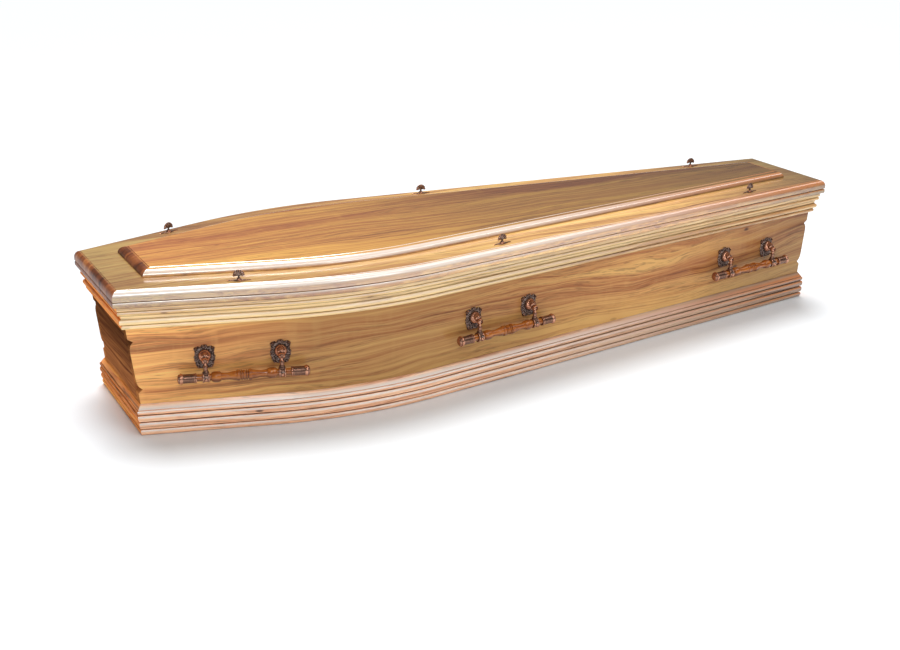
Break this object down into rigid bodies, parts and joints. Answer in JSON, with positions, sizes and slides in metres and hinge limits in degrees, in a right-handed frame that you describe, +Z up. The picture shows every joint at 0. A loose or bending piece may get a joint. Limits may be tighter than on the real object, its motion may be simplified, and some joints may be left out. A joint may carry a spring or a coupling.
{
  "type": "wooden coffin",
  "caption": "Shouldered timber coffin with a loose panelled lid, moulded rim and base, turned swing-bar handles and lid thumb screws.",
  "frame": {"origin": "under the middle of the box's length and width, on the plane it rests on", "axes": "+X along the coffin towards the foot end, +Y to its left side, +Z up through the lid"},
  "size_m": [1.953, 0.5786, 0.3535],
  "materials": {
    "panel_timber": "golden hardwood with brown streaks under satin lacquer",
    "moulding_timber": "straight-grained hardwood mouldings under satin lacquer",
    "turned_timber": "stained turned wood under gloss lacquer, with antique copper caps",
    "antique_copper": "cast metal, antique copper plated, dark in the hollows and rubbed bright on the high places"
  },
  "bodies": {
    "coffin": {"floor_board": "panel_timber", "right_side_board": "panel_timber", "left_side_board": "panel_timber", "head_board": "panel_timber", "foot_board": "panel_timber", "lid_board": "panel_timber", "raised_panel": "panel_timber", "right_base_moulding": "moulding_timber", "left_base_moulding": "moulding_timber", "head_base_moulding": "moulding_timber", "foot_base_moulding": "moulding_timber", "right_rim_moulding": "moulding_timber", "left_rim_moulding": "moulding_timber", "head_rim_moulding": "moulding_timber", "foot_rim_moulding": "moulding_timber", "right_head_handle_head_backplate": "antique_copper", "right_head_handle_foot_backplate": "antique_copper", "right_middle_handle_head_backplate": "antique_copper", "right_middle_handle_foot_backplate": "antique_copper", "right_foot_handle_head_backplate": "antique_copper", "right_foot_handle_foot_backplate": "antique_copper", "left_head_handle_head_backplate": "antique_copper", "left_head_handle_foot_backplate": "antique_copper", "left_middle_handle_head_backplate": "antique_copper", "left_middle_handle_foot_backplate": "antique_copper", "left_foot_handle_head_backplate": "antique_copper", "left_foot_handle_foot_backplate": "antique_copper", "right_head_screw_plate": "antique_copper", "right_middle_screw_plate": "antique_copper", "right_foot_screw_plate": "antique_copper", "left_head_screw_plate": "antique_copper", "left_middle_screw_plate": "antique_copper", "left_foot_screw_plate": "antique_copper", "right_head_thumb_screw": "antique_copper", "right_middle_thumb_screw": "antique_copper", "right_foot_thumb_screw": "antique_copper", "left_head_thumb_screw": "antique_copper", "left_middle_thumb_screw": "antique_copper", "left_foot_thumb_screw": "antique_copper"},
    "right_head_handle": {"right_head_handle_bar": "turned_timber", "right_head_handle_head_arm": "antique_copper", "right_head_handle_foot_arm": "antique_copper"},
    "right_middle_handle": {"right_middle_handle_bar": "turned_timber", "right_middle_handle_head_arm": "antique_copper", "right_middle_handle_foot_arm": "antique_copper"},
    "right_foot_handle": {"right_foot_handle_bar": "turned_timber", "right_foot_handle_head_arm": "antique_copper", "right_foot_handle_foot_arm": "antique_copper"},
    "left_head_handle": {"left_head_handle_bar": "turned_timber", "left_head_handle_head_arm": "antique_copper", "left_head_handle_foot_arm": "antique_copper"},
    "left_middle_handle": {"left_middle_handle_bar": "turned_timber", "left_middle_handle_head_arm": "antique_copper", "left_middle_handle_foot_arm": "antique_copper"},
    "left_foot_handle": {"left_foot_handle_bar": "turned_timber", "left_foot_handle_head_arm": "antique_copper", "left_foot_handle_foot_arm": "antique_copper"}
  },
  "joints": [
    {"name": "right_head_swing", "type": "hinge", "parent": "coffin", "child": "right_head_handle", "pos_m": [-0.72844, -0.23032, 0.166], "axis": [-0.9582, 0.2862, 0], "range_deg": [-12, 90]},
    {"name": "right_middle_swing", "type": "hinge", "parent": "coffin", "child": "right_middle_handle", "pos_m": [-0.09718, -0.26255, 0.166], "axis": [-0.9941, -0.1086, 0], "range_deg": [-12, 90]},
    {"name": "right_foot_swing", "type": "hinge", "parent": "coffin", "child": "right_foot_handle", "pos_m": [0.71182, -0.17417, 0.166], "axis": [-0.9941, -0.1086, 0], "range_deg": [-12, 90]},
    {"name": "left_head_swing", "type": "hinge", "parent": "coffin", "child": "left_head_handle", "pos_m": [-0.72844, 0.23032, 0.166], "axis": [0.9582, 0.2862, 0], "range_deg": [-12, 90]},
    {"name": "left_middle_swing", "type": "hinge", "parent": "coffin", "child": "left_middle_handle", "pos_m": [-0.09718, 0.26255, 0.166], "axis": [0.9941, -0.1086, 0], "range_deg": [-12, 90]},
    {"name": "left_foot_swing", "type": "hinge", "parent": "coffin", "child": "left_foot_handle", "pos_m": [0.71182, 0.17417, 0.166], "axis": [0.9941, -0.1086, 0], "range_deg": [-12, 90]}
  ]
}
